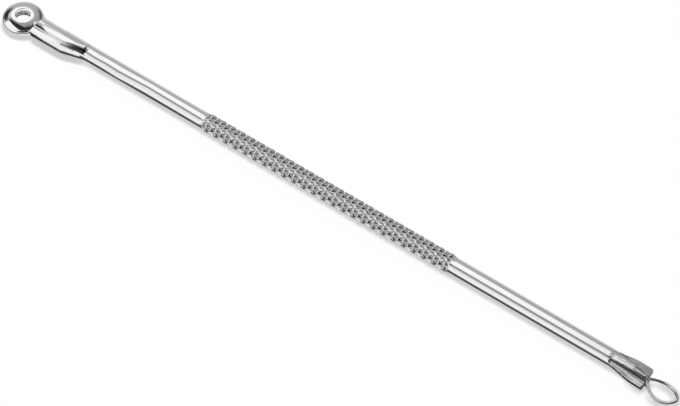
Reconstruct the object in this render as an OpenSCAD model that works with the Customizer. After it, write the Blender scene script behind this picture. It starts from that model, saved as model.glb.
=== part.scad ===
// Double-ended blackhead extractor, in millimetres.
// It lies on a table: +X runs along the tool from the cup head to the wire loop, +Z is up.
// The origin is on the table, under the middle of the tool.

/* [Overall] */
// Length of the whole tool, from the cup's outer edge to the loop's tip
overall_l = 123; // [118:0.1:128]
// Height of the rod's centre line above the table
axis_z = 2.15; // [2.15:0.05:2.4]

/* [Handle] */
// Diameter of the plain rod
rod_d = 2.5; // [2.3:0.05:2.7]
// Diameter over the knurl's crests
knurl_d = 2.86; // [2.8:0.02:3.1]
// Length of the knurled grip
knurl_l = 45.4; // [40:0.2:50]
// Distance from the cup's centre to the start of the knurl
knurl_start = 35.5; // [30:0.1:38]
// Length of the cone at each end of the knurl
knurl_cone = 0.45; // [0.3:0.05:0.7]
// Number of grooves of each hand that cross on the grip
knurl_starts = 10; // [8:1:12]
// Distance along the grip from one groove to the next
knurl_pitch = 1.816; // [1.4:0.1:2.4]

/* [Left crimp, on the cup's stem] */
// Diameter of the crimped sleeve
sleeve_d = 3.4; // [3.2:0.05:3.5]
// Distance from the cup's centre to where the sleeve starts to narrow
sleeve_end = 8.8; // [7.8:0.1:9]
// Length over which the sleeve narrows to the rod
sleeve_taper = 4.3; // [3.5:0.1:5]
// How far the crimp pushed the sleeve towards the user
sleeve_side = 0.36; // [0.32:0.02:0.4]
// How far the crimp pushed the sleeve down
sleeve_drop = 0.32; // [0.28:0.01:0.34]
// Angle of the press mark round the sleeve, from the far side over the top
press_angle = 129; // [110:1:150]

/* [Right crimp, on the wire legs] */
// Length of the four-groove crimp
crimp_l = 6.2; // [5.5:0.1:7]
// Diameter over the crimp's fins
crimp_d = 3.46; // [3.2:0.02:3.46]
// How far the crimp bends down, in degrees
crimp_bend = 4; // [0:0.5:4]
// Radius left at the bottom of each groove
groove_r = 0.78; // [0.7:0.02:0.95]
// Angle of the first groove round the rod, from the far side over the top
groove_turn = 57; // [45:1:60]

/* [Cup head] */
// Outer diameter of the cup
cup_d = 6.3; // [6:0.1:6.6]
// Diameter of the hole in the crown
hole_d = 2.3; // [1.8:0.1:2.5]
// Thickness of the crown round the hole
crown_t = 0.5; // [0.4:0.05:0.6]
// Height of the hole's upper edge above the rod's centre line
crown_z = 0.1; // [0:0.05:0.2]
// Diameter of the flat ring round the hole
face_d = 3.5; // [3:0.1:4]
// Depth from the flat ring to the cup's widest ring
crown_h = 0.85; // [0.7:0.05:1]
// Depth from the widest ring to the lower rim
bowl_depth = 1.05; // [0.9:0.05:1.15]
// Wall thickness at the widest ring
cup_wall = 0.45; // [0.35:0.05:0.6]
// Diameter of the neck between the cup and the sleeve
neck_d = 2.3; // [2:0.1:2.5]
// Gap between the cup and the sleeve's end, which follows the cup's round
neck_gap = 0.4; // [0.1:0.05:0.5]
// Diameter of the stem pressed into the handle
stem_d = 1.5; // [1.3:0.1:1.6]
// Length of the stem inside the handle
stem_l = 6.5; // [5:0.5:7]

/* [Wire loop] */
// Diameter of the wire
wire_d = 0.44; // [0.4:0.02:0.46]
// Length of the open loop outside the crimp
loop_l = 5.3; // [5:0.1:6.2]
// Widest outer width of the loop
loop_w = 3.5; // [3.2:0.05:3.8]
// How far the loop's belly hangs below the end of the crimp
loop_sag = 0.9; // [0.4:0.05:1]
// How far the loop's tip hangs below the end of the crimp
tip_sag = 0.7; // [0.3:0.05:0.9]
// Length of the wire legs inside the crimp
leg_l = 6.6; // [5:0.2:7]

/* [Hidden] */
$fn = 64;

rod_r = rod_d / 2;
knurl_r = knurl_d / 2;
sleeve_r = sleeve_d / 2;
crimp_r = crimp_d / 2;
cup_r = cup_d / 2;
hole_r = hole_d / 2;
face_r = face_d / 2;
wire_r = wire_d / 2;

// Places along the tool, measured from the cup's centre
rod_start = sleeve_end + sleeve_taper;
// The rod's own end is hidden this far inside the sleeve's cone
rod_tuck = 3.5;
crimp_end = overall_l - cup_r - loop_l;
crimp_start = crimp_end - crimp_l;
cup_x = cup_r - overall_l / 2;

// The crimp turns down about its own start, and the loop leaves its end
bend_drop = crimp_l * sin(crimp_bend);
loop_x = crimp_start + crimp_l * cos(crimp_bend);
// Play left on a diameter that is pressed into a bore
fit = 0.02;
// How far one piece of the same solid runs into the next
overlap = 0.1;
// The neck flares from a root inside the cup's wall to a seat in the sleeve's end
neck_root = cup_r - cup_wall - overlap;
neck_root_r = 0.1;
neck_seat = 0.15;
neck_end = cup_r + neck_gap + neck_seat;
// The wire legs lie side by side in one blind bore
leg_y = wire_r + fit / 4;
leg_bore_r = wire_d + fit;

// Cup: the outer surface is a low crown on a deeper bowl, cut flat at its lower rim
bowl_h = 1.25;
equator_z = crown_z - crown_h;
rim_wall = 0.3;
lip = 0.1;
arc_steps = 14;

module place_x(x) {
    translate([x, 0, 0]) rotate([0, 90, 0]) children();
}

// Height of the crown at radius r, outside the flat ring
function crown_at(r) = equator_z + crown_full * sqrt(max(0, 1 - pow(r / cup_r, 2)));
crown_full = crown_h / sqrt(1 - pow(face_r / cup_r, 2));

// Radius of the bowl at a depth below the widest ring
function bowl_at(depth) = cup_r * sqrt(1 - pow(depth / bowl_h, 2));

function crown_points() = [
    for (i = [0 : arc_steps])
        let (a = 90 * i / arc_steps, r = face_r + (cup_r - face_r) * sin(a))
        [r, crown_at(r)]
];

function bowl_points() = [
    for (i = [1 : arc_steps])
        let (depth = bowl_depth * i / arc_steps)
        [bowl_at(depth), equator_z - depth]
];

// The hollow follows the outer surface: thick at the crown, thinner at the rim
function hollow_points() = [
    for (i = [0 : arc_steps])
        let (
            f = i / arc_steps,
            depth = bowl_depth * (1 - f),
            wall = cup_wall + (rim_wall - cup_wall) * (1 - f)
        )
        [bowl_at(depth) - wall, equator_z - depth]
];

hollow_top = crown_z - crown_t;

function roof_points() = [
    for (i = [1 : arc_steps])
        let (
            a = 90 * i / arc_steps,
            r0 = cup_r - cup_wall,
            rise = hollow_top - equator_z
        )
        [hole_r + (r0 - hole_r) * cos(a), equator_z + rise * sin(a)]
];

module cup_shell() {
    rotate_extrude($fn = 96)
        polygon(concat(
            [[hole_r, crown_z - lip], [hole_r + lip, crown_z]],
            crown_points(),
            bowl_points(),
            hollow_points(),
            roof_points()
        ));
}

module cup_head() {
    color("lightsteelblue") translate([cup_x, 0, axis_z]) {
        cup_shell();
        // The neck flares out of the cup's wall, and the stem goes on from it
        translate([0, -sleeve_side / 2, -sleeve_drop]) {
            place_x(neck_root)
                cylinder(r1 = neck_root_r, d2 = neck_d, h = cup_r + neck_gap / 2 - neck_root);
            place_x(cup_r + neck_gap / 2)
                cylinder(d = neck_d, h = neck_end - cup_r - neck_gap / 2);
            place_x(neck_end - overlap) cylinder(d = stem_d, h = stem_l);
        }
    }
}

// A groove of V section that runs along the tool. It starts at x0, and its bottom goes
// from radius r0 to r1 over its length. Its walls lean out by the angles far and near.
module v_groove(x0, length, r0, r1, far, near) {
    tilt = atan((r1 - r0) / length);
    reach = 2.5;
    translate([x0, 0, r0]) rotate([0, 90 - tilt, 0])
        linear_extrude(height = length / cos(tilt))
            polygon([[0, 0], [-reach, reach * tan(far)], [-reach, -reach * tan(near)]]);
}

// The angle round the rod runs from the far side (+Y) over the top
module round_the_rod(angle) {
    rotate([angle - 90, 0, 0]) children();
}

module sleeve_body() {
    lead = cup_r - cup_wall;
    cone_tip_r = 0.6;
    translate([0, -sleeve_side, -sleeve_drop]) {
        place_x(lead) cylinder(r = sleeve_r, h = sleeve_end - lead);
        place_x(sleeve_end) cylinder(r1 = sleeve_r, r2 = cone_tip_r, h = sleeve_taper);
    }
}

// Press marks: a wedge that starts sharply on the rod and runs out into a fine line. Its
// far wall is gentle, its near wall steep.
module sleeve_marks() {
    wedge_l = 4.4;
    wedge_r = 0.62;
    for (turn = [0, 180])
        translate([0, -sleeve_side, -sleeve_drop]) round_the_rod(press_angle + turn) {
            mirror([1, 0, 0])
                v_groove(-rod_start, wedge_l, wedge_r, sleeve_r + overlap, 50, 8);
            v_groove(2, sleeve_end - 1, sleeve_r - overlap, sleeve_r - overlap, 35, 35);
        }
}

module crimp_body() {
    end_round = 0.15;
    swell = 4;
    rotate([0, 90, 0]) rotate_extrude()
        polygon([
            [0, -0.2],
            [rod_r - 0.05, -0.2],
            [rod_r + 0.12, swell * 0.3],
            [crimp_r - 0.1, swell * 0.75],
            [crimp_r, swell],
            [crimp_r, crimp_l - end_round],
            [crimp_r - end_round, crimp_l],
            [0, crimp_l]
        ]);
}

module crimp() {
    difference() {
        crimp_body();
        for (k = [0 : 3])
            round_the_rod(groove_turn + 90 * k)
                v_groove(0, crimp_l + 1, groove_r + 0.05, groove_r, 48, 48);
    }
}

// Diamond knurl: on rings half a pitch apart, crests and groove crossings take turns, and
// every face of the net is folded along the groove that runs through it.
knurl_rows = 2 * round(knurl_l / knurl_pitch);
knurl_sides = 2 * knurl_starts;
// The crossings lie just over the rod, and the net's two ends just inside it
knurl_floor = (rod_r + 0.015) / cos(90 / knurl_starts);
knurl_inner = rod_r - 0.15;

function is_crest(i, j) = (i + j) % 2 == 0;

function knurl_ring(j) =
    let (
        end = j == 0 || j == knurl_rows,
        even = (knurl_l - 2 * knurl_cone) / (knurl_rows - 2),
        x = j == 0 ? 0 : j == knurl_rows ? knurl_l : knurl_cone + even * (j - 1)
    )
    [
        for (i = [0 : knurl_sides - 1])
            let (
                a = 360 * i / knurl_sides,
                r = end ? knurl_inner : is_crest(i, j) ? knurl_r : knurl_floor
            )
            [knurl_start + x, r * cos(a), r * sin(a)]
    ];

module knurl_band() {
    faces = [
        for (j = [0 : knurl_rows - 1])
            for (i = [0 : knurl_sides - 1])
                let (
                    a = j * knurl_sides + i,
                    b = j * knurl_sides + (i + 1) % knurl_sides,
                    c = b + knurl_sides,
                    d = a + knurl_sides
                )
                each is_crest(i, j) ? [[a, d, b], [b, d, c]] : [[a, c, b], [a, d, c]]
    ];
    far = knurl_rows * knurl_sides;
    caps = [
        [for (i = [0 : knurl_sides - 1]) i],
        [for (i = [knurl_sides - 1 : -1 : 0]) far + i]
    ];
    polyhedron(
        points = [for (j = [0 : knurl_rows]) each knurl_ring(j)],
        faces = concat(faces, caps),
        convexity = 4
    );
}

module knurled_handle() {
    color("silver") translate([cup_x, 0, axis_z]) difference() {
        union() {
            sleeve_body();
            place_x(rod_start - rod_tuck)
                cylinder(r = rod_r, h = crimp_start - rod_start + rod_tuck + 0.4);
            knurl_band();
            translate([crimp_start, 0, 0]) rotate([0, crimp_bend, 0]) crimp();
        }
        sleeve_marks();
        // The sleeve's end is coped to the round cup
        translate([0, 0, -sleeve_d]) cylinder(r = cup_r + neck_gap, h = 2 * sleeve_d);
        // Counterbore for the cup's neck, and blind bore for its stem
        translate([0, -sleeve_side / 2, -sleeve_drop]) {
            place_x(cup_r) cylinder(d = neck_d + fit, h = neck_end - cup_r + fit / 2);
            place_x(cup_r) cylinder(d = stem_d + fit, h = neck_end - cup_r + stem_l);
        }
        // Blind bore for the two wire legs
        translate([crimp_start, 0, 0]) rotate([0, crimp_bend, 0])
            place_x(crimp_l - leg_l) cylinder(r = leg_bore_r, h = leg_l + 1);
    }
}

// Wire loop: half of its centre line, from the end of the crimp to the tip
belly_x = 0.5 * loop_l;
belly_y = loop_w / 2 - wire_r;
tip_x = loop_l - wire_r;

function bezier(p, t) =
    pow(1 - t, 3) * p[0] + 3 * pow(1 - t, 2) * t * p[1]
    + 3 * (1 - t) * pow(t, 2) * p[2] + pow(t, 3) * p[3];

rise = [[0, leg_y], [0.35, leg_y + 0.42], [belly_x - 1.2, belly_y], [belly_x, belly_y]];
fall = [[belly_x, belly_y], [belly_x + 1.3, belly_y], [tip_x - 0.12, 0.6], [tip_x, 0]];

// The loop hangs in a shallow bow through its base, its belly and its tip
function bow(x) =
    loop_sag * x * (x - tip_x) / (belly_x * (belly_x - tip_x))
    + tip_sag * x * (x - belly_x) / (tip_x * (tip_x - belly_x));

rise_n = 8;
fall_n = 9;
leg_n = 2;
half_loop = concat(
    [for (i = [0 : leg_n - 1]) [-leg_l + 0.1 + (leg_l - 0.4) * i / (leg_n - 1), leg_y]],
    [for (i = [0 : rise_n]) bezier(rise, i / rise_n)],
    [for (i = [1 : fall_n]) bezier(fall, i / fall_n)]
);
half_n = len(half_loop);

// Legs follow the crimp's slope, the loop adds its bow to it
function wire_z(x) = -bend_drop - (x > 0 ? bow(x) : x * tan(crimp_bend));
wire_path = [
    for (i = [0 : 2 * half_n - 2])
        let (
            back = i > half_n - 1,
            p = back ? half_loop[2 * half_n - 2 - i] : half_loop[i]
        )
        [loop_x + p[0], back ? -p[1] : p[1], wire_z(p[0])]
];

function unit(v) = v / norm(v);
function tangent(i) =
    let (n = len(wire_path) - 1)
    unit(wire_path[min(n, i + 1)] - wire_path[max(0, i - 1)]);

wire_sides = 12;
// Every ring keeps one axis near the vertical, so the tube doesn't twist
function ring(i) =
    let (t = tangent(i), side = unit(cross(t, [0, 0, 1])), up = cross(side, t))
    [
        for (k = [0 : wire_sides - 1])
            let (a = 360 * k / wire_sides)
            wire_path[i] + wire_r * (cos(a) * side + sin(a) * up)
    ];

module wire_loop() {
    rings = len(wire_path);
    points = [for (i = [0 : rings - 1]) each ring(i)];
    sides = [
        for (i = [0 : rings - 2])
            for (k = [0 : wire_sides - 1])
                let (
                    a = i * wire_sides + k,
                    b = i * wire_sides + (k + 1) % wire_sides,
                    c = b + wire_sides,
                    d = a + wire_sides
                )
                each [[a, b, c], [a, c, d]]
    ];
    last = (rings - 1) * wire_sides;
    caps = [
        [for (k = [wire_sides - 1 : -1 : 0]) k],
        [for (k = [0 : wire_sides - 1]) last + k]
    ];
    color("gainsboro") translate([cup_x, 0, axis_z])
        polyhedron(points = points, faces = concat(sides, caps), convexity = 4);
}

knurled_handle();
cup_head();
wire_loop();
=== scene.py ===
# %% [markdown]
# # A double-ended steel skin tool
# The tool is three pieces of polished steel: a knurled rod, a small holed cup pressed into
# one end of it, and a loop of thin wire crimped into the other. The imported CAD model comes
# in first and stays where it is, because every finished piece is laid over its CAD solid.

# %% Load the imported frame
import math

import bmesh
import bpy
from mathutils import Matrix, Vector


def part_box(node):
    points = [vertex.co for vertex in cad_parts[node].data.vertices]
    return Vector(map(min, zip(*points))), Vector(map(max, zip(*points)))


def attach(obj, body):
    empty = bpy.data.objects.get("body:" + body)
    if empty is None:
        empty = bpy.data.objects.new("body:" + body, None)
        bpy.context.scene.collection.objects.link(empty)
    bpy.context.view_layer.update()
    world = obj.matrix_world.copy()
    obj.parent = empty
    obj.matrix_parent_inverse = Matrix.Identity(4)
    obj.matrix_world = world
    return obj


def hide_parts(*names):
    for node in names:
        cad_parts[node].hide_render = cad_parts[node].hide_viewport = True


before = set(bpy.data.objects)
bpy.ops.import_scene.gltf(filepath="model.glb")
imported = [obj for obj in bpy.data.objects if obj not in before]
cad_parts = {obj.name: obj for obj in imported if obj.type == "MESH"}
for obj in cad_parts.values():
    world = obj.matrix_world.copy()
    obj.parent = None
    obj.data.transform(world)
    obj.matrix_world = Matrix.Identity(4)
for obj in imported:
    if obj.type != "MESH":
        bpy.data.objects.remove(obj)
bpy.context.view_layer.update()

# %% [markdown]
# ## Sizes
# Lengths along the tool are measured from the cup's centre, on the rod's centre line, as a
# maker would mark them out on the bar. They are in millimetres here, and each finished mesh
# is scaled to metres once, at the end of its cell.

# %% Sizes of the tool
MM = 0.001
CUP_R, HOLE_R = 3.15, 1.15
ROD_R, AXIS_Z = 1.25, 2.15
SLEEVE_R = 1.7
SLEEVE_START, SLEEVE_END, ROD_START = 3.6, 8.8, 13.1
SLEEVE_SIDE, SLEEVE_DROP = 0.36, 0.32
KNURL_START, KNURL_END, KNURL_R = 35.5, 80.9, 1.43
CRIMP_START, CRIMP_END = 108.35, 114.53
LOOP_TIP = 119.85
CUP_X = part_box("cup_head")[0].x / MM + CUP_R
print("cup centre at x =", round(CUP_X, 2), "mm")

# %% [markdown]
# ## The camera
# It comes first, so that every later choice can be judged in the photograph's own frame.
# A long lens half a metre away, 53 degrees above the table and 36 degrees round to the
# right, gives the slight growth of the knurl's pitch from left to right.

# %% Camera
CAM_ELEVATION, CAM_AZIMUTH = math.radians(53), math.radians(36.08)
CAM_DISTANCE = 493.6
AIM_FROM_CUP = 58.35
IMAGE_W = 680
FOCAL_PX = 3330.9
SHIFT_PX = (11.83, -10.59)
SENSOR_W = 36
CLIP_NEAR, CLIP_FAR = 0.01, 20
camera_data = bpy.data.cameras.new("photo_camera")
camera = bpy.data.objects.new("photo_camera", camera_data)
bpy.context.collection.objects.link(camera)
bpy.context.scene.camera = camera
look_back = Vector((
    math.sin(CAM_AZIMUTH) * math.cos(CAM_ELEVATION),
    -math.cos(CAM_AZIMUTH) * math.cos(CAM_ELEVATION),
    math.sin(CAM_ELEVATION),
))
aim = Vector((CUP_X + AIM_FROM_CUP, 0, AXIS_Z))
camera.location = (aim + look_back * CAM_DISTANCE) * MM
camera.rotation_mode = "QUATERNION"
camera.rotation_quaternion = (-look_back).to_track_quat("-Z", "Y")
camera_data.sensor_width = SENSOR_W
camera_data.lens = FOCAL_PX / IMAGE_W * SENSOR_W
camera_data.shift_x = SHIFT_PX[0] / IMAGE_W
camera_data.shift_y = SHIFT_PX[1] / IMAGE_W
camera_data.clip_start, camera_data.clip_end = CLIP_NEAR, CLIP_FAR
print("lens, mm:", round(camera_data.lens, 1))

# %% [markdown]
# ## Shaping a bar as a rolled-up sheet
# A bar that changes section along its length could be cut with booleans, but their edges
# shade badly on polished metal. A grid rolled into a tube keeps clean rows of faces: each
# vertex has a place along the bar and an angle round it, and a rule gives its radius there.
# The rule also says how deep the vertex lies in a groove, and that depth is kept on the
# mesh for the material, which paints shade into the grooves by darkening them.

# %% A bar from a rolled-up grid
def spread(start, end, count):
    """Places from start to end, both included."""
    return [start + (end - start) * i / count for i in range(count + 1)]


def rolled_bar(bm, stations, around, rule):
    """Adds a tube with one ring of vertices per station; the rule takes (station, angle)
    and returns the vertex's place in mm and the depth of the groove it lies in, which the
    steel paints as shade."""
    rows = len(stations) - 1
    # the groove layer; the steel paints shade where this mark is high
    depth = bm.verts.layers.float.get("groove") or bm.verts.layers.float.new("groove")
    made = bmesh.ops.create_grid(bm, x_segments=rows, y_segments=around, size=0.5)
    # the grid is one unit wide, so a vertex's place on it tells its row and column
    for v in made["verts"]:
        row = round((v.co.x + 0.5) * rows)
        angle = 2 * math.pi * round((v.co.y + 0.5) * around) / around
        v.co, v[depth] = rule(stations[row], angle)


print("four steps from nought to one:", spread(0, 1, 4))

# %% Finish a piece
# in mm: vertices nearer than this are the two sides of a seam
SEAM_GAP = 1e-4


def finish_piece(bm, name, sharp_deg):
    """Merges seams, closes open rims, turns faces outwards and puts the mesh in place."""
    bmesh.ops.remove_doubles(bm, verts=bm.verts, dist=SEAM_GAP)
    bmesh.ops.holes_fill(bm, edges=[e for e in bm.edges if e.is_boundary], sides=0)
    bmesh.ops.recalc_face_normals(bm, faces=bm.faces)
    bmesh.ops.translate(bm, verts=bm.verts, vec=(CUP_X, 0, AXIS_Z))
    bmesh.ops.scale(bm, verts=bm.verts, vec=(MM, MM, MM))
    open_edges = sum(1 for e in bm.edges if not e.is_manifold)
    mesh = bpy.data.meshes.new(name)
    bm.to_mesh(mesh)
    bm.free()
    mesh.shade_smooth()
    mesh.set_sharp_from_angle(angle=math.radians(sharp_deg))
    piece = bpy.data.objects.new(name, mesh)
    bpy.context.collection.objects.link(piece)
    print(name, "has", len(mesh.polygons), "faces and", open_edges, "open edges")
    return piece


# %% [markdown]
# ## The handle's left end: a sleeve crimped on the cup's stem
# The bar's end is bored for the stem and pressed from both sides. The press pushed it a
# little towards the user and down, and left a fine seam along it. Where the press stops,
# on the rod, it left a wedge: deep at the rod, and running out into the seam. The wedge's
# far wall is gentle and its near wall steep, so its lower edge is crisp. The marks could be
# carved by hand, but as a depth taken off the radius they keep one place and one size.

# %% Helpers for pressed shapes
def smooth_step(a, b, x):
    t = min(1, max(0, (x - a) / (b - a)))
    return t * t * (3 - 2 * t)


def soft_min(a, b, soft):
    """The lesser of two radii, with the corner between them rounded."""
    h = max(0, soft - abs(a - b)) / soft
    return min(a, b) - h * h * soft / 4


def turn_between(angle, middle):
    """Signed angle from middle to angle, between -pi and pi."""
    return (angle - middle + math.pi) % (2 * math.pi) - math.pi


print("a quarter of the way up a smooth step:", smooth_step(0, 1, 0.25))

# %% Marks of the press
PRESS_ANGLE = math.radians(129)
WEDGE_START, WEDGE_END = 8.6, 12.7
WEDGE_DEPTH, WEDGE_WIDE, WEDGE_NEAR = 0.62, math.radians(50), math.radians(4)
# how it widens, how far its stop leans over its width, and how long the stop takes
WEDGE_SPREAD, WEDGE_SLANT, WEDGE_STOP = 0.8, 0.55, 0.12
SEAM_DEPTH, SEAM_WIDE = 0.10, math.radians(3.2)
SEAM_RUNS_OUT = (ROD_START + 0.2, ROD_START - 0.3)


def wedge_depth(x, angle):
    """How deep the press marks cut at this place."""
    depth = 0
    for turn in (0, math.pi):
        off = turn_between(PRESS_ANGLE + turn, angle)
        seam = SEAM_DEPTH * math.exp(-(off / SEAM_WIDE) ** 2)
        seam *= smooth_step(*SEAM_RUNS_OUT, x)
        depth = max(depth, seam)
        grown = (x - WEDGE_START) / (WEDGE_END - WEDGE_START)
        if grown <= 0:
            continue
        wide = WEDGE_WIDE * min(1, grown) ** WEDGE_SPREAD
        if -WEDGE_NEAR < off < wide:
            wall = 1 - off / wide if off > 0 else 1 + off / WEDGE_NEAR
            stop = WEDGE_END + WEDGE_SLANT * max(0, off) / WEDGE_WIDE
            ends = smooth_step(stop + WEDGE_STOP, stop - WEDGE_STOP / 2, x)
            depth = max(depth, WEDGE_DEPTH * min(1, grown) * wall * ends)
    return depth


deepest = wedge_depth(WEDGE_END - WEDGE_STOP, PRESS_ANGLE)
print("wedge at its deepest, mm:", round(deepest, 2))

# %% Rule for the sleeve
SLEEVE_CONE_TIP = 0.75
UPPER_STEP = (WEDGE_END - 0.05, WEDGE_END + 0.25)
ROD_BLEND = 0.12
CROWDING, CROWD_RUNS_OUT = 0.75, (ROD_START + 6, ROD_START + 0.5)
BORE_R = 1.1
END_CORNER = 0.16


def corner_loss(left):
    """How much the rounded corner of an end takes off the radius, this far before it."""
    d = max(0, END_CORNER - max(0, left)) / END_CORNER
    return END_CORNER * (1 - math.sqrt(max(0, 1 - d * d)))


def reach_of_circle(angle, side, lift, radius):
    """Distance from a point to a circle whose centre is (side, lift) away from it."""
    along = side * math.cos(angle) + lift * math.sin(angle)
    inside = radius * radius - side * side - lift * lift + along * along
    return along + math.sqrt(max(0, inside))


def sleeve_rule(x, angle):
    """Station x below the sleeve's start makes its end face, which is coped to the cup."""
    # columns of vertices crowd at the press marks
    crowd = CROWDING * smooth_step(*CROWD_RUNS_OUT, x)
    angle -= crowd * math.sin(2 * (angle - PRESS_ANGLE)) / 2
    # the lower half tapers into the rod, the upper half ends in a short step
    taper = min(1, max(0, (x - SLEEVE_END) / (ROD_START - SLEEVE_END)))
    step = smooth_step(*UPPER_STEP, x)
    below = abs(turn_between(angle, PRESS_ANGLE + math.pi / 2)) - math.pi / 2
    lower = smooth_step(0, -SEAM_WIDE, below)
    slim = SLEEVE_R + (SLEEVE_CONE_TIP - SLEEVE_R) * (lower * taper + (1 - lower) * step)
    rod = reach_of_circle(angle, SLEEVE_SIDE, SLEEVE_DROP, ROD_R)
    r = -soft_min(-slim, -rod, ROD_BLEND) if x > SLEEVE_END - 1 else slim
    # the press marks' depth is also the mark by which the steel paints shade into the wedge and the
    # seam
    groove = wedge_depth(x, angle)
    r -= groove
    side = -SLEEVE_SIDE + r * math.cos(angle)
    r -= corner_loss(x - SLEEVE_START)
    if x < SLEEVE_START:
        r = min(r, BORE_R)
    shift = math.sqrt(SLEEVE_START ** 2 - side ** 2) - SLEEVE_START
    place = max(x, 2 * SLEEVE_START - x) + shift * smooth_step(SLEEVE_END, SLEEVE_START, x)
    return (place, -SLEEVE_SIDE + r * math.cos(angle), -SLEEVE_DROP + r * math.sin(angle)), groove


top, bottom = (sleeve_rule(SLEEVE_END, side * math.pi / 2)[0][2] for side in (1, -1))
print("sleeve from top to bottom, mm:", round(top - bottom, 2))

# %% [markdown]
# ## The knurl
# Two families of ten grooves cross on the grip, one left-handed and one right-handed. Each
# groove turns once round the rod in 18.2 mm. A bump map could draw them, but the diamonds
# show in the outline and each one mirrors the lamps, so they are shaped. The grid's columns
# are stepped so that the grooves run along the diagonals of its faces, and the diamonds
# come out crisp.

# %% Rule for the knurl
KNURL_STARTS = 10
KNURL_LEAD = 18.16
KNURL_DEPTH = 0.26
CREST_FLAT = 0.8
# the mark for shade painted at the grooves' bottom; knurls stay bright, so it is less than the true
# depth
KNURL_SHADE = 0.13
KNURL_CONE, KNURL_LEAD_IN = 0.45, 0.02


def knurl_rule(x, angle):
    turn = KNURL_STARTS * angle / (2 * math.pi)
    along = KNURL_STARTS * (x - KNURL_START) / KNURL_LEAD
    nearest = 1.0
    for hand in (-1, 1):
        place = turn + hand * along
        nearest = min(nearest, abs(place - round(place)) * 2)
    crest = min(nearest, CREST_FLAT) / CREST_FLAT
    ends = min(smooth_step(KNURL_START - KNURL_LEAD_IN, KNURL_START + KNURL_CONE, x),
               smooth_step(KNURL_END + KNURL_LEAD_IN, KNURL_END - KNURL_CONE, x))
    full = KNURL_R - KNURL_DEPTH * (1 - crest)
    r = ROD_R + (full - ROD_R) * ends
    groove = KNURL_SHADE * (1 - crest) ** 2 * ends
    return (x, r * math.cos(angle), r * math.sin(angle)), groove


DIAMOND_LENGTH = KNURL_LEAD / KNURL_STARTS
print("diamonds in a row along the grip:", round((KNURL_END - KNURL_START) / DIAMOND_LENGTH))

# %% [markdown]
# ## The handle's right end: a four-groove crimp on the wire legs
# Four jaws pressed the bar's end onto the wire, so metal stands between them as four fins.
# The jaw on the user's side bit hardest, so its groove starts abruptly and the others run
# in slowly. The pressed end droops by four degrees. Wedges could be cut out of the bar, but
# a V-shaped wall that the radius may not pass meets each fin in a softened edge.

# %% Rule for the crimp
CRIMP_R, CRIMP_RISE = 1.73, (0.3, 4.4)
CRIMP_DROOP = math.tan(math.radians(4))
GROOVE_TURN, GROOVE_HALF = math.radians(57), math.radians(50)
GROOVE_R = 0.78
# how far each groove takes to reach its depth, from a start just over the rod's surface
GROOVE_RUNS, GROOVE_RIM = (3.2, 0.5, 1.5, 3.2), ROD_R + 0.1
GROOVE_BLEND = 0.05
# how dark the shade painted along each groove's bottom gets, and how wide it spreads
GROOVE_SHADE, GROOVE_SHADE_WIDE = 0.2, math.radians(11)
WIRE_BORE_R = 0.5
# a radius that no wall reaches, where there is no groove
FAR_OUT = 99


def v_cut(offset, bottom, half):
    """Radius of a V groove's wall at an angle off its bottom line."""
    if abs(offset) >= half - GROOVE_BLEND:
        return FAR_OUT
    return bottom * math.sin(half) / math.sin(half - abs(offset))


def crimp_rule(x, angle):
    d = x - CRIMP_START
    r = ROD_R + (CRIMP_R - ROD_R) * smooth_step(*CRIMP_RISE, d)
    left = CRIMP_END - x
    r -= corner_loss(left)
    groove = 0
    for k, run in enumerate(GROOVE_RUNS):
        off = turn_between(angle, GROOVE_TURN + k * math.pi / 2)
        cut = smooth_step(0.0, run, d)
        bottom = GROOVE_RIM - (GROOVE_RIM - GROOVE_R) * cut
        r = soft_min(r, v_cut(off, bottom, GROOVE_HALF), GROOVE_BLEND)
        groove = max(groove, GROOVE_SHADE * cut * math.exp(-(off / GROOVE_SHADE_WIDE) ** 2))
    if left < 0:
        r = min(r, WIRE_BORE_R)
        x = 2 * CRIMP_END - x
    lift = -max(0, x - CRIMP_START) * CRIMP_DROOP
    return (x, r * math.cos(angle), lift + r * math.sin(angle)), groove


crimp_end_drop = (CRIMP_END - CRIMP_START) * CRIMP_DROOP
print("the crimp's end sinks by, mm:", round(crimp_end_drop, 2))

# %% [markdown]
# ## The whole handle
# On the real tool the sleeve, the grip and the crimp are one bar. They could be three
# meshes, but the joints would show in the polish, so their rules join end to end on the
# plain rod and one skin covers the handle. Rings are close together where the surface has
# detail and far apart on the plain rod. The first two and the last two rings turn the skin
# inwards, over the end faces and into the bores.

# %% Rule for the whole handle
SLEEVE_RULE_END = 22
TOUCH = 0.001


def handle_rule(x, angle):
    if x < SLEEVE_RULE_END:
        return sleeve_rule(x, angle)
    if KNURL_START - TOUCH < x < KNURL_END + TOUCH:
        return knurl_rule(x, angle)
    if x > CRIMP_START - TOUCH:
        return crimp_rule(x, angle)
    return (x, ROD_R * math.cos(angle), ROD_R * math.sin(angle)), 0


rod_top = handle_rule(SLEEVE_RULE_END, math.pi / 2)[0][2]
print("top of the plain rod, mm above its middle:", round(rod_top, 2))

# %% Places of the rings
INTO_STEM_BORE, INTO_WIRE_BORE = 0.5, 0.4
PLAIN_SLEEVE, SLEEVE_RINGS = (SLEEVE_START + 0.3, WEDGE_START - 0.2), 12
WEDGE_PART, WEDGE_RINGS = (WEDGE_START, WEDGE_END + 0.8), 60
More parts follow.
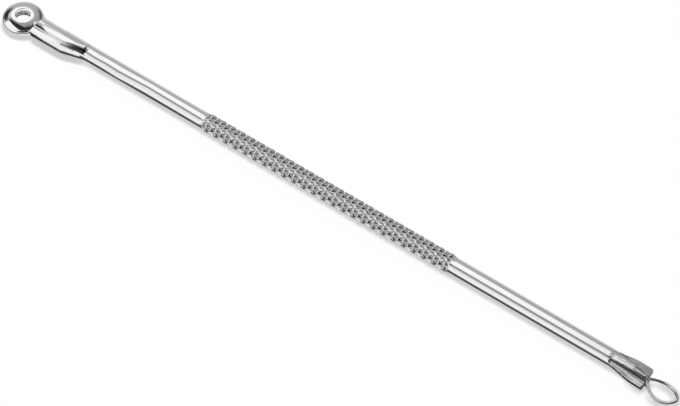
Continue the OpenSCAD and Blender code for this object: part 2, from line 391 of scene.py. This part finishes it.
# where the abrupt groove starts, and the rest of the crimp
BITE, BITE_RINGS = (CRIMP_START, CRIMP_START + 0.6), 12
CRIMP_REST, CRIMP_RINGS = (CRIMP_START + 0.75, CRIMP_END - 0.2), 34
LEFT_ROD, RIGHT_ROD = [14.0, 15.0, 17.0, 19.5, 25.0, 35.0], [81.5, 95.0, 107.5, 108.25]
CORNER_RINGS = 5
COLUMNS_A_DIAMOND = 12
half_diamonds = round(2 * (KNURL_END - KNURL_START) / DIAMOND_LENGTH)
stations = (
    [SLEEVE_START - INTO_STEM_BORE, SLEEVE_START - TOUCH]
    + spread(SLEEVE_START, SLEEVE_START + END_CORNER, CORNER_RINGS)
    + spread(*PLAIN_SLEEVE, SLEEVE_RINGS)
    + spread(*WEDGE_PART, WEDGE_RINGS)
    + LEFT_ROD
    + spread(KNURL_START, KNURL_END, half_diamonds * COLUMNS_A_DIAMOND // 2)
    + RIGHT_ROD
    + spread(*BITE, BITE_RINGS)
    + spread(*CRIMP_REST, CRIMP_RINGS)
    + spread(CRIMP_END - END_CORNER, CRIMP_END, CORNER_RINGS)
    + [CRIMP_END + TOUCH, CRIMP_END + INTO_WIRE_BORE]
)
print("rings along the handle:", len(stations))

# %% Handle mesh
bm = bmesh.new()
rolled_bar(bm, stations, COLUMNS_A_DIAMOND * KNURL_STARTS, handle_rule)
handle = finish_piece(bm, "knurled_handle_steel", sharp_deg=50)

# %% [markdown]
# ## The cup head
# A little steel bowl, open below, with a round hole in a narrow flat ring on its crown. It
# is turned, so its wall is one profile spun about the vertical. The profile is a chain of
# points from the hole's lip over the crown, down the bowl to the rim, and up again inside.
# A bevelled cylinder would do for the outside, but not for a wall that thins to the rim. The
# ring falls away a little towards its edge, so that it catches one wide reflection.

# %% Cup profile
CROWN_Z, CROWN_H, FACE_R = 0.1, 0.85, 1.75
BOWL_H, BOWL_DEPTH = 1.25, 1.05
LIP = 0.1
RIM_WALL, CUP_WALL, CROWN_T = 0.3, 0.45, 0.5
FACE_DROP = 0.04
LIP_STEPS, FACE_STEPS, CROWN_STEPS, BOWL_STEPS, INSIDE_STEPS = 6, 8, 30, 24, 12
EQUATOR_Z = CROWN_Z - CROWN_H
CROWN_FULL = CROWN_H / math.sqrt(1 - (FACE_R / CUP_R) ** 2)


def crown_z(r):
    return EQUATOR_Z + CROWN_FULL * math.sqrt(max(0, 1 - (r / CUP_R) ** 2))


def bowl_r(depth):
    return CUP_R * math.sqrt(1 - (depth / BOWL_H) ** 2)


def cup_profile():
    pts = []
    for a in spread(0, math.pi / 2, LIP_STEPS):
        pts.append((HOLE_R + LIP * (1 - math.cos(a)), CROWN_Z - LIP + LIP * math.sin(a)))
    for r in spread(HOLE_R + LIP, FACE_R, FACE_STEPS)[1:-1]:
        pts.append((r, CROWN_Z - FACE_DROP * ((r - HOLE_R) / (FACE_R - HOLE_R)) ** 2))
    for a in spread(0, math.pi / 2, CROWN_STEPS):
        r = FACE_R + (CUP_R - FACE_R) * math.sin(a)
        pts.append((r, crown_z(r) - FACE_DROP))
    for depth in spread(0, BOWL_DEPTH, BOWL_STEPS)[1:]:
        pts.append((bowl_r(depth), EQUATOR_Z - max(depth, FACE_DROP + depth / 2)))
    for f in spread(0, 1, INSIDE_STEPS):
        depth = BOWL_DEPTH * (1 - f)
        pts.append((bowl_r(depth) - RIM_WALL - (CUP_WALL - RIM_WALL) * f, EQUATOR_Z - depth))
    roof_r, roof_rise = CUP_R - CUP_WALL, CROWN_Z - CROWN_T - EQUATOR_Z
    for a in spread(0, math.pi / 2, INSIDE_STEPS)[1:]:
        pts.append((HOLE_R + (roof_r - HOLE_R) * math.cos(a), EQUATOR_Z + roof_rise * math.sin(a)))
    return pts


print("points in the cup's profile:", len(cup_profile()))

# %% [markdown]
# ## The neck
# Between the cup and the sleeve the stem swells to a neck, fuller on its upper side. It
# could be a cone bridged to the bowl, but polished steel shows every uneven face of such a
# join. So it is a rolled-up grid like the handle, from inside the crown to the sleeve's end
# face and on into the bore.

# %% Rule for the neck
NECK_ROOT, NECK_FACE = 2.0, SLEEVE_START - 0.005
NECK_ROOT_R, NECK_TOP_R, NECK_LOW_R = 0.3, 1.62, 1.0
NECK_FLARE = 1.5
BORE_PLAY = 0.02
NECK_FULL_SIDE = (0.25, 0.6)
NECK_RINGS, NECK_AROUND, NECK_IN_BORE = 18, 72, 0.6


def neck_rule(x, angle):
    """A flare that rises out of the crown to the sleeve's end, fuller on its upper side."""
    upper = 0.5 + 0.5 * math.cos(turn_between(angle, PRESS_ANGLE - math.pi / 2))
    full = NECK_LOW_R + (NECK_TOP_R - NECK_LOW_R) * smooth_step(*NECK_FULL_SIDE, upper)
    grown = min(1, (x - NECK_ROOT) / (NECK_FACE - NECK_ROOT))
    r = NECK_ROOT_R + (full - NECK_ROOT_R) * grown ** NECK_FLARE
    if x > NECK_FACE:
        r = BORE_R - BORE_PLAY
    side = -SLEEVE_SIDE + r * math.cos(angle)
    shift = (math.sqrt(SLEEVE_START ** 2 - side ** 2) - SLEEVE_START) * grown
    return (x + shift, side, -SLEEVE_DROP + r * math.sin(angle)), 0


neck_stations = (spread(NECK_ROOT, NECK_FACE, NECK_RINGS)
                 + [NECK_FACE + TOUCH, NECK_FACE + NECK_IN_BORE])
print("rings along the neck:", len(neck_stations))

# %% Cup mesh
CUP_STEPS = 192
DULL_MARK = -1.0
# inside starts this far in from the outer wall, and no higher than this above the roof
INSIDE_BY, ROOF_PLAY = 0.2, 0.01


def is_inside(r, z):
    """Whether a point of the profile lies on the inside of the bowl."""
    outer = bowl_r(min(BOWL_DEPTH, max(0, EQUATOR_Z - z)))
    return r < outer - INSIDE_BY and z < CROWN_Z - CROWN_T + ROOF_PLAY


bm = bmesh.new()
mark = bm.verts.layers.float.new("groove")
profile = [bm.verts.new((r, 0, z)) for r, z in cup_profile()]
for v in profile:
    # a mark below nought is the dull inside of the bowl
    v[mark] = DULL_MARK if is_inside(v.co.x, v.co.z) else 0
for a, b in zip(profile, profile[1:] + profile[:1]):
    bm.edges.new((a, b))
bmesh.ops.spin(bm, geom=bm.verts[:] + bm.edges[:], cent=(0, 0, 0), axis=(0, 0, 1),
               angle=2 * math.pi, steps=CUP_STEPS, use_merge=True)
rolled_bar(bm, neck_stations, NECK_AROUND, neck_rule)
cup = finish_piece(bm, "cup_head_steel", sharp_deg=60)

# %% [markdown]
# ## The wire loop
# Thin round wire, bent to a leaf shape with a blunt point. Its legs lie side by side in the
# crimp and the loop hangs in a shallow bow. Half of its line is two smooth curves, from the
# leg to the belly and from the belly to the point, and the other half is its mirror image.
# A curve object with a round bevel could be the wire. A ring of vertices pushed along the
# line gives the same tube as a mesh, and that can carry the groove mark.

# %% Line of the wire
WIRE_R = 0.22
LEG_Y = WIRE_R + 0.005
LOOP_L = LOOP_TIP - CRIMP_END
LOOP_W = 3.5
BELLY_SAG, TIP_SAG = 0.9, 0.7
IN_CRIMP = (-1.5, -0.6)
# how far the handles of the curves reach at the leg, to both sides of the belly, at the tip
LEG_HANDLE, BELLY_HANDLES, TIP_HANDLE = (0.35, 0.42), (1.2, 1.3), (0.12, 0.6)
RISE_STEPS, FALL_STEPS = 16, 18


def bezier(p, t):
    s = 1 - t
    return tuple(s ** 3 * a + 3 * s * s * t * b + 3 * s * t * t * c + t ** 3 * d
                 for a, b, c, d in zip(*p))


belly_x, belly_y = 0.5 * LOOP_L, LOOP_W / 2 - WIRE_R
tip_x = LOOP_L - WIRE_R
# start, two handles and end of each curve, in mm from the crimp's end
rise = ((0, LEG_Y), (LEG_HANDLE[0], LEG_Y + LEG_HANDLE[1]),
        (belly_x - BELLY_HANDLES[0], belly_y), (belly_x, belly_y))
fall = ((belly_x, belly_y), (belly_x + BELLY_HANDLES[1], belly_y),
        (tip_x - TIP_HANDLE[0], TIP_HANDLE[1]), (tip_x, 0))
half_path = ([(x, LEG_Y) for x in IN_CRIMP]
             + [bezier(rise, t) for t in spread(0, 1, RISE_STEPS)]
             + [bezier(fall, t) for t in spread(0, 1, FALL_STEPS)[1:]])


def bow(x):
    return (BELLY_SAG * x * (x - tip_x) / (belly_x * (belly_x - tip_x))
            + TIP_SAG * x * (x - belly_x) / (tip_x * (tip_x - belly_x)))


def wire_z(x):
    return -crimp_end_drop - (bow(x) if x > 0 else x * CRIMP_DROOP)


path = [Vector((CRIMP_END + x, y, wire_z(x))) for x, y in half_path]
path += [Vector((p.x, -p.y, p.z)) for p in reversed(path[:-1])]
print("length of the wire's line, mm:", round(sum((b - a).length for a, b in zip(path, path[1:])), 1))

# %% Wire mesh
WIRE_SIDES = 20


def swept_tube(bm, path, radius, sides):
    """Extrudes one ring along a path, set square to it at each point."""
    ring = bmesh.ops.create_circle(bm, segments=sides, radius=radius)["verts"]
    old = Matrix.Identity(4)
    for i, p in enumerate(path):
        ahead = (path[min(i + 1, len(path) - 1)] - path[max(i - 1, 0)]).normalized()
        side = ahead.cross(Vector((0, 0, 1))).normalized()
        frame_here = Matrix((side, ahead.cross(side), ahead)).transposed().to_4x4()
        frame_here.translation = p
        if i:
            edges = list(dict.fromkeys(e for v in ring for e in v.link_edges
                                       if all(w in ring for w in e.verts)))
            grown = bmesh.ops.extrude_edge_only(bm, edges=edges)["geom"]
            ring = [g for g in grown if isinstance(g, bmesh.types.BMVert)]
        bmesh.ops.transform(bm, matrix=frame_here @ old.inverted(), verts=ring)
        old = frame_here


bm = bmesh.new()
bm.verts.layers.float.new("groove")
swept_tube(bm, path, WIRE_R, WIRE_SIDES)
wire = finish_piece(bm, "wire_loop_steel", sharp_deg=60)

# %% [markdown]
# ## Fitting the skins to the CAD model
# The tool is rigid, so every piece rides on the one body. Each skin stands in for the CAD
# solid of the same name.

# %% Places and solids
for piece, node, slot in ((handle, "knurled_handle", "handle_steel"),
                          (cup, "cup_head", "cup_steel"),
                          (wire, "wire_loop", "wire_steel")):
    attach(piece, "root")
    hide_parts(node)
    print(piece.name, "replaces", node)

# %% [markdown]
# ## Polished steel
# Real polish is never a perfect mirror. Drawn lines run along the bar and the wire, and
# buffed rings round the cup, where a wheel ran. Soft handling marks change the gloss from
# place to place. Shade is painted into the grooves, the inside of the bowl is dull, and dark
# streaks are painted along the lines on the crimp. Picture textures could show all this,
# but noise stretched along the metal has no seams and stays sharp close up. Each effect is
# a node group that the steels share, and a group gives back only numbers, so that each
# steel can use them in its own strength.

# %% Helpers for shader nodes
def new_group(name, outputs):
    group = bpy.data.node_groups.new(name, "ShaderNodeTree")
    for label in outputs:
        group.interface.new_socket(label, in_out="OUTPUT", socket_type="NodeSocketFloat")
    return group, group.nodes, group.links, group.nodes.new("NodeGroupOutput")


def maths(nodes, links, operation, *values):
    """A Math node fed with numbers or sockets; gives back its output."""
    node = nodes.new("ShaderNodeMath")
    node.operation = operation
    for socket, value in zip(node.inputs, values):
        if isinstance(value, (int, float)):
            socket.default_value = value
        else:
            links.new(value, socket)
    return node.outputs[0]


def object_place(nodes, links):
    """The place on the object, whole and split into its x, y and z."""
    place = nodes.new("ShaderNodeTexCoord").outputs["Object"]
    split = nodes.new("ShaderNodeSeparateXYZ")
    links.new(place, split.inputs[0])
    return place, split.outputs


def share_between(nodes, links, value, low, high):
    """Nought at low, one at high, and even between them."""
    share = nodes.new("ShaderNodeMapRange")
    share.inputs["From Min"].default_value = low
    share.inputs["From Max"].default_value = high
    links.new(value, share.inputs["Value"])
    return share.outputs["Result"]


def noise_at(nodes, links, vector, detail):
    noise = nodes.new("ShaderNodeTexNoise")
    noise.inputs["Scale"].default_value = 1
    noise.inputs["Detail"].default_value = detail
    links.new(vector, noise.inputs["Vector"])
    return noise.outputs["Fac"]


def stretched_noise(name, label, per_metre, detail):
    """A group with one noise, stretched to so many waves a metre along x, y and z."""
    group, nodes, links, out = new_group(name, [label])
    stretch = nodes.new("ShaderNodeMapping")
    stretch.inputs["Scale"].default_value = per_metre
    links.new(object_place(nodes, links)[0], stretch.inputs["Vector"])
    links.new(noise_at(nodes, links, stretch.outputs[0], detail), out.inputs[label])
    return group


# %% Lines along the bar, marks of handling
# waves a metre: along and across the way the steel was drawn, and of the marks
ALONG, ACROSS = 45, 7000
MARKS = (260, 700, 700)
drawn_lines = stretched_noise("drawn_lines", "Height", (ALONG, ACROSS, ACROSS), detail=3)
handling_marks = stretched_noise("handling_marks", "Value", MARKS, detail=4)
print("one drawn line is about", round(1 / ACROSS / MM, 2), "mm wide")

# %% Rings round the cup
# the shade changes this many times sooner along a ring than along a drawn line
RING_BREAKS = 8


def make_buffed_rings():
    group, nodes, links, out = new_group("buffed_rings", ["Height"])
    split = object_place(nodes, links)[1]
    from_middle = maths(nodes, links, "SUBTRACT", split["X"], CUP_X * MM)
    x_part = maths(nodes, links, "MULTIPLY", from_middle, from_middle)
    y_part = maths(nodes, links, "MULTIPLY", split["Y"], split["Y"])
    radius = maths(nodes, links, "SQRT", maths(nodes, links, "ADD", x_part, y_part))
    ringed = nodes.new("ShaderNodeCombineXYZ")
    for label, value, scale in (("X", radius, ACROSS), ("Y", from_middle, ALONG * RING_BREAKS),
                                ("Z", split["Z"], ACROSS)):
        links.new(maths(nodes, links, "MULTIPLY", value, scale), ringed.inputs[label])
    links.new(noise_at(nodes, links, ringed.outputs[0], detail=2), out.inputs["Height"])
    return group


buffed_rings = make_buffed_rings()
print("made", buffed_rings.name)

# %% Shares read from the groove mark
# the groove mark at which painted shade starts, and where it is full
SHADE_FROM, SHADE_FULL = 0.02, 0.22
# in mm: the way from the crimp's start over which its streaks grow strong
PRESSED_RUN = 1.5


def make_groove_shares():
    group, nodes, links, out = new_group("groove_shares", ["Shade", "Dull", "Pressed"])
    kept = nodes.new("ShaderNodeAttribute")
    kept.attribute_name = "groove"
    x = object_place(nodes, links)[1]["X"]
    start = CUP_X + CRIMP_START
    for label, value, low, high in (("Shade", kept.outputs["Fac"], SHADE_FROM, SHADE_FULL),
                                    ("Dull", kept.outputs["Fac"], 0, DULL_MARK),
                                    ("Pressed", x, start * MM, (start + PRESSED_RUN) * MM)):
        links.new(share_between(nodes, links, value, low, high), out.inputs[label])
    return group


groove_shares = make_groove_shares()
print("shared finish groups:", [g.name for g in bpy.data.node_groups])

# %% Steel for each piece
# the steel's own colour, and the dark painted as shade into the grooves and as the crimp's streaks
STEEL_COLOUR, SHADE_AND_STREAK_COLOUR = (0.86, 0.87, 0.88, 1), (0.05, 0.05, 0.055, 1)
DULL_ROUGHNESS = 0.75
STREAK_FROM, STREAK_CONTRAST = 0.46, 6.0


def steel(name, line_group, roughness, line_depth, most_streak=0):
    """Polished steel; the line depth is the height of its finest lines in metres."""
    material = bpy.data.materials.new(name)
    material.use_nodes = True
    nodes, links = material.node_tree.nodes, material.node_tree.links
    shader = nodes["Principled BSDF"]
    shader.inputs["Metallic"].default_value = 1
    use = {}
    for group in (line_group, handling_marks, groove_shares):
        node = nodes.new("ShaderNodeGroup")
        node.node_tree = group
        use[group] = node.outputs
    lines, shares = use[line_group]["Height"], use[groove_shares]
    # dark streaks painted along the drawn lines on the crimp
    streak = maths(nodes, links, "SUBTRACT", lines, STREAK_FROM)
    streak = maths(nodes, links, "MULTIPLY", streak, STREAK_CONTRAST)
    streak = maths(nodes, links, "MAXIMUM", streak, 0)
    streak = maths(nodes, links, "MINIMUM", streak, most_streak)
    streak = maths(nodes, links, "MULTIPLY", streak, shares["Pressed"])
    # the dark colour is painted as shade by the groove mark, and along the crimp's streaks
    tone = nodes.new("ShaderNodeMix")
    tone.data_type = "RGBA"
    tone.inputs["A"].default_value = STEEL_COLOUR
    tone.inputs["B"].default_value = SHADE_AND_STREAK_COLOUR
    links.new(maths(nodes, links, "MAXIMUM", streak, shares["Shade"]), tone.inputs["Factor"])
    links.new(tone.outputs["Result"], shader.inputs["Base Color"])
    gloss = maths(nodes, links, "MULTIPLY_ADD", use[handling_marks]["Value"], roughness,
                  roughness / 2)
    gloss = maths(nodes, links, "MULTIPLY_ADD", shares["Dull"], DULL_ROUGHNESS, gloss)
    links.new(gloss, shader.inputs["Roughness"])
    relief = nodes.new("ShaderNodeBump")
    relief.inputs["Strength"].default_value = 1
    relief.inputs["Distance"].default_value = line_depth
    polished = maths(nodes, links, "SUBTRACT", 1, shares["Dull"])
    links.new(maths(nodes, links, "MULTIPLY", lines, polished), relief.inputs["Height"])
    links.new(relief.outputs["Normal"], shader.inputs["Normal"])
    return material


handle.data.materials.append(
    steel("handle_chrome", drawn_lines, roughness=0.11, line_depth=2e-6, most_streak=0.6))
cup.data.materials.append(steel("cup_chrome", buffed_rings, roughness=0.07, line_depth=8e-7))
wire.data.materials.append(steel("wire_chrome", drawn_lines, roughness=0.1, line_depth=5e-7))
print("steels:", [m.name for m in bpy.data.materials if m.name.endswith("chrome")])

# %% [markdown]
# ## Table and paper
# The table is plain white paper. A diffuse white sheet would need bright lamps to look
# white, and those would burn out the steel. So the sheet is a dim diffuse grey, which takes
# the lamps' soft shadow, plus a glow that only the camera and the metal's reflections see.
# The glow is held back close to the tool, where little sky reaches the table, which draws
# the narrow contact shadow. For reflections it also falls off near the tool: that makes the
# dark line low on the rod and the dark edge of the cup. Straight under the cup's hole the
# table stays bright, so the hole looks clear.

# %% A flat sheet on the stage
def stage_sheet(name, half_size):
    """A square sheet at table height, half a side given in metres."""
    bm = bmesh.new()
    bmesh.ops.create_grid(bm, x_segments=1, y_segments=1, size=half_size)
    mesh = bpy.data.meshes.new(name)
    bm.to_mesh(mesh)
    bm.free()
    sheet = bpy.data.objects.new(name, mesh)
    bpy.context.collection.objects.link(sheet)
    return sheet


TABLE_HALF = 3
table = stage_sheet("table", TABLE_HALF)
print("table, m across:", round(table.dimensions.x, 2))

# %% How much glow the table shows
TABLE_GREY, TABLE_GLOW = 0.15, 0.95
# in mm how near to the tool the table is shaded, how steeply, and the least glow left
SHADOW_REACH, SHADOW_STEEP, SHADOW_LEAST = 1.2, 1.6, 0.6
SHADOW_RAYS = 16
# across the tool, in mm: the share of the glow that the metal sees there
SEEN_BY_METAL = ((-5.0, 1.0), (-3.6, 0.1), (-1.4, 0.0), (0.0, 0.1),
                 (1.5, 0.3), (6.0, 0.45), (16.0, 0.9))
# round the cup, in mm: bright straight below the hole, dark from there to the second radius
UNDER_CUP, ROUND_CUP, ROUND_SOFT = 2.3, 5.1, 0.7
# how much brighter the table's glow is painted straight under the hole, in the metal's reflections
HOLE_LIFT = 0.35


def sky_share(nodes, links):
    """How much sky reaches the table here; small beside and under the tool."""
    near = nodes.new("ShaderNodeAmbientOcclusion")
    near.samples = SHADOW_RAYS
    near.inputs["Distance"].default_value = SHADOW_REACH * MM
    share = maths(nodes, links, "MULTIPLY_ADD", near.outputs["AO"], SHADOW_STEEP,
                  1 - SHADOW_STEEP)
    return maths(nodes, links, "MAXIMUM", share, SHADOW_LEAST)


def share_across(nodes, links, y):
    """The ramp of SEEN_BY_METAL, read at a place across the tool in metres."""
    low, high = SEEN_BY_METAL[0][0], SEEN_BY_METAL[-1][0]
    ramp = nodes.new("ShaderNodeValToRGB")
    across = maths(nodes, links, "MULTIPLY_ADD", y, 1 / MM / (high - low), -low / (high - low))
    links.new(across, ramp.inputs[0])
    stops = ramp.color_ramp.elements
    for i, (place, share) in enumerate(SEEN_BY_METAL):
        where = (place - low) / (high - low)
        # a new ramp already has two stops
        stop = stops[i] if i < 2 else stops.new(where)
        stop.position = where
        stop.color = (share, share, share, 1)
    return ramp.outputs[0]


def table_glow(nodes, links):
    ray = nodes.new("ShaderNodeLightPath").outputs
    place, split = object_place(nodes, links)
    dim = maths(nodes, links, "SUBTRACT", 1, share_across(nodes, links, split["Y"]))
    dim = maths(nodes, links, "MULTIPLY", dim, ray["Is Glossy Ray"])
    from_cup = nodes.new("ShaderNodeVectorMath")
    from_cup.operation = "DISTANCE"
    from_cup.inputs[1].default_value = (CUP_X * MM, 0, 0)
    links.new(place, from_cup.inputs[0])
    from_cup = from_cup.outputs["Value"]
    under = maths(nodes, links, "LESS_THAN", from_cup, UNDER_CUP * MM)
    round_cup = share_between(nodes, links, from_cup, ROUND_CUP * MM,
                              (ROUND_CUP + ROUND_SOFT) * MM)
    round_cup = maths(nodes, links, "MAXIMUM", round_cup, ray["Is Camera Ray"])
    share = maths(nodes, links, "MULTIPLY", maths(nodes, links, "SUBTRACT", 1, dim), round_cup)
    share = maths(nodes, links, "MULTIPLY", share, sky_share(nodes, links))
    share = maths(nodes, links, "MAXIMUM", share, under)
    lifted = maths(nodes, links, "MULTIPLY", under, ray["Is Glossy Ray"])
    lift = maths(nodes, links, "MULTIPLY_ADD", lifted, HOLE_LIFT, 1)
    seen = maths(nodes, links, "MAXIMUM", ray["Is Camera Ray"], ray["Is Glossy Ray"])
    amount = maths(nodes, links, "MULTIPLY", maths(nodes, links, "MULTIPLY", seen, share), lift)
    return maths(nodes, links, "MULTIPLY", amount, TABLE_GLOW)


# %% Paper for the table
def paper():
    material = bpy.data.materials.new("table_paper")
    material.use_nodes = True
    nodes, links = material.node_tree.nodes, material.node_tree.links
    nodes.remove(nodes["Principled BSDF"])
    diffuse = nodes.new("ShaderNodeBsdfDiffuse")
    diffuse.inputs["Color"].default_value = (TABLE_GREY, TABLE_GREY, TABLE_GREY, 1)
    glow = nodes.new("ShaderNodeEmission")
    links.new(table_glow(nodes, links), glow.inputs["Strength"])
    both = nodes.new("ShaderNodeAddShader")
    links.new(diffuse.outputs[0], both.inputs[0])
    links.new(glow.outputs[0], both.inputs[1])
    links.new(both.outputs[0], nodes["Material Output"].inputs["Surface"])
    return material


table.data.materials.append(paper())
print("table paper:", TABLE_GREY, "diffuse and", TABLE_GLOW, "glow")

# %% [markdown]
# ## Lamps
# Polished steel has no colour of its own, so it is drawn by what stands round it. A wide
# softbox overhead gives the broad white band on top of the rod, and a lower one in front,
# to the left, the second band. The grey room between them gives the thin line. The overhead
# one fades to the right and a dimmer one goes on from it, which the drooping crimp mirrors.
# Area lamps could do the same, but they are rectangles. A glowing sheet has its corners
# where the reflections need them.

# %% A glowing sheet
def light_up(sheet, radiance, fade=None):
    """Makes a sheet glow. A fade is (x where it starts, x where it ends, share left there)."""
    sheet.visible_camera = False
    material = bpy.data.materials.new(sheet.name)
    material.use_nodes = True
    nodes, links = material.node_tree.nodes, material.node_tree.links
    nodes.remove(nodes["Principled BSDF"])
    emit = nodes.new("ShaderNodeEmission")
    emit.inputs["Strength"].default_value = radiance
    if fade:
        start, end, left = fade
        level = share_between(nodes, links, object_place(nodes, links)[1]["X"], start, end)
        level = maths(nodes, links, "MULTIPLY_ADD", level, radiance * (left - 1), radiance)
        links.new(level, emit.inputs["Strength"])
    links.new(emit.outputs[0], nodes["Material Output"].inputs["Surface"])
    sheet.data.materials.append(material)


def softbox(name, corners, radiance, fade=None):
    """A glowing four-cornered sheet, corners in metres, that the camera does not see."""
    # a plain square, whose corners then move to their places
    sheet = stage_sheet(name, 1)
    for v, corner in zip(sheet.data.vertices, corners):
        v.co = corner
    light_up(sheet, radiance, fade)
    return sheet


# %% Three softboxes
# corners as slopes seen from the tool, (x, y) for each metre up, and the lamp's level
LAMPS_UP = 2.5
OVERHEAD, OVERHEAD_LEVEL = ((-0.80, -0.34), (-0.17, -0.64), (-0.80, 0.60), (-0.17, 0.58)), 1.08
RIGHT, RIGHT_LEVEL = ((-0.16, -0.36), (0.03, -0.36), (-0.16, 0.10), (0.03, 0.10)), 0.66
# the slopes between which the overhead one fades, and the share that is left
FADE_FROM, FADE_TO, FADE_LEFT = -0.27, -0.17, 0.35
# and (x, z) for each metre forward
FRONT_AWAY = 2.0
FRONT, FRONT_LEVEL = ((-0.62, 0.0), (0.10, 0.0), (-0.86, 0.95), (0.10, 0.20)), 0.92

softbox("overhead_softbox", [Vector((x, y, 1)) * LAMPS_UP for x, y in OVERHEAD],
        OVERHEAD_LEVEL, fade=(FADE_FROM * LAMPS_UP, FADE_TO * LAMPS_UP, FADE_LEFT))
softbox("right_softbox", [Vector((x, y, 1)) * LAMPS_UP for x, y in RIGHT], RIGHT_LEVEL)
softbox("front_softbox", [Vector((x, -1, z)) * FRONT_AWAY for x, z in FRONT], FRONT_LEVEL)

# %% [markdown]
# ## Cards
# A small round thing mirrors the whole room, so a photographer shapes its reflections with
# cards held close to it. The cup's tones could be painted on instead, but they would stay
# put when the tool turns, and reflections don't. An oval white card fills the flat ring
# round the hole, with a dimmer one behind it that softens its edge. A grey and a black card
# darken the crown below the ring, a white one in front lights its lower left, and one lights
# the wire. The diffuse table doesn't see them, so they cast no shadow on it.

# %% Cards near the cup and the wire
def near_card(name, corners, radiance):
    """A small card, corners in mm from the cup's centre, that only the metal sees."""
    middle = Vector((CUP_X, 0, AXIS_Z))
    card = softbox(name, [(middle + Vector(corner)) * MM for corner in corners], radiance)
    card.visible_diffuse = card.visible_shadow = False
    return card


# each card's level, and its corners in mm from the cup's centre
CARDS = (
    ("grey_card", 0.33,
     ((-5.9, 0.1, 4.8), (2.2, 0.4, 6.4), (-5.9, -1.2, 4.8), (2.2, -1.8, 6.4))),
    ("black_card", 0.02,
     ((-5.9, -1.2, 4.8), (2.6, -1.9, 6.4), (-5.5, -2.07, 4.8), (3.6, -6.2, 5.2))),
    ("front_white_card", 1.05,
     ((-10.3, -2.1, 10.3), (3.8, -9.8, 11.3), (-14.0, -8.5, 1.3), (1.0, -14.0, -0.3))),
    ("wire_white_card", 1.1,
     ((114.4, -1.5, 9.0), (119.5, -1.5, 9.0), (114.4, 3.5, 9.0), (119.5, 3.5, 9.0))),
)
for card_name, card_level, card_corners in CARDS:
    near_card(card_name, card_corners, card_level)

# %% Oval cards for the flat ring
RING_CARD_AT = Vector((-6.6, 5.55, 10.55))
RING_CARD_WIDE, RING_CARD_HIGH = Vector((4.05, 3.05, 0.8)), Vector((-2.2, 2.55, -1.4))
OVAL_SIDES = 48


def oval_card(name, scale, behind, radiance):
    """An oval card on the line that the flat ring mirrors, some way behind its place."""
    card = near_card(name, [(0, 0, 0)] * 4, radiance)
    middle = Vector((CUP_X, 0, AXIS_Z)) + RING_CARD_AT * behind
    bm = bmesh.new()
    bmesh.ops.create_circle(bm, cap_ends=True, segments=OVAL_SIDES, radius=scale)
    for v in bm.verts:
        v.co = (middle + RING_CARD_WIDE * v.co.x + RING_CARD_HIGH * v.co.y) * MM
    bm.to_mesh(card.data)
    bm.free()


oval_card("ring_white_card", scale=1.08, behind=1.0, radiance=1.1)
oval_card("ring_soft_card", scale=1.7, behind=1.03, radiance=0.62)

# %% [markdown]
# ## The room
# What the lamps and cards leave open is a grey room. A lighter patch behind on the left
# tones the rod's far edge, and three dark sides, behind, on the left and at the front right,
# give the cup its black edges. A picture of a studio could stand round the tool instead,
# but a patch that is a number or two is easier to move. Each one is a cap of the sky with a
# soft edge, found from the angle between it and the direction looked in.

# %% Room
ROOM_GREY = 0.36
ROOM_PATCHES = (
    # azimuth from the user's side towards the right, elevation, half-width, soft edge, level
    (-135, 30, 25, 18, 0.47),
    (165, 10, 22, 14, 0.06),
    (-100, 22, 17, 7, 0.03),
    (55, 40, 48, 12, 0.03),
)


def patch_share(nodes, links, looking, azimuth, elevation, half_wide, soft):
    """One inside a patch of the sky, nought outside it, with a soft edge between."""
    az, el = math.radians(azimuth), math.radians(elevation)
    towards = nodes.new("ShaderNodeVectorMath")
    towards.operation = "DOT_PRODUCT"
    towards.inputs[1].default_value = (math.sin(az) * math.cos(el), -math.cos(az) * math.cos(el),
                                       math.sin(el))
    links.new(looking, towards.inputs[0])
    inside = nodes.new("ShaderNodeMapRange")
    inside.interpolation_type = "SMOOTHSTEP"
    inside.inputs["From Min"].default_value = math.cos(math.radians(half_wide + soft))
    inside.inputs["From Max"].default_value = math.cos(math.radians(half_wide - soft))
    links.new(towards.outputs["Value"], inside.inputs["Value"])
    return inside.outputs[0]


world = bpy.data.worlds.new("studio")
bpy.context.scene.world = world
world.use_nodes = True
nodes, links = world.node_tree.nodes, world.node_tree.links
looking = nodes.new("ShaderNodeTexCoord").outputs["Generated"]
room_so_far = None
for *patch, patch_level in ROOM_PATCHES:
    blend = nodes.new("ShaderNodeMix")
    blend.inputs["A"].default_value = ROOM_GREY
    if room_so_far:
        links.new(room_so_far, blend.inputs["A"])
    blend.inputs["B"].default_value = patch_level
    links.new(patch_share(nodes, links, looking, *patch), blend.inputs["Factor"])
    room_so_far = blend.outputs["Result"]
links.new(room_so_far, nodes["Background"].inputs["Strength"])
nodes["Background"].inputs["Color"].default_value = (1, 1, 1, 1)
bpy.context.scene.view_settings.view_transform = "Standard"
print("patches in the room:", len(ROOM_PATCHES))
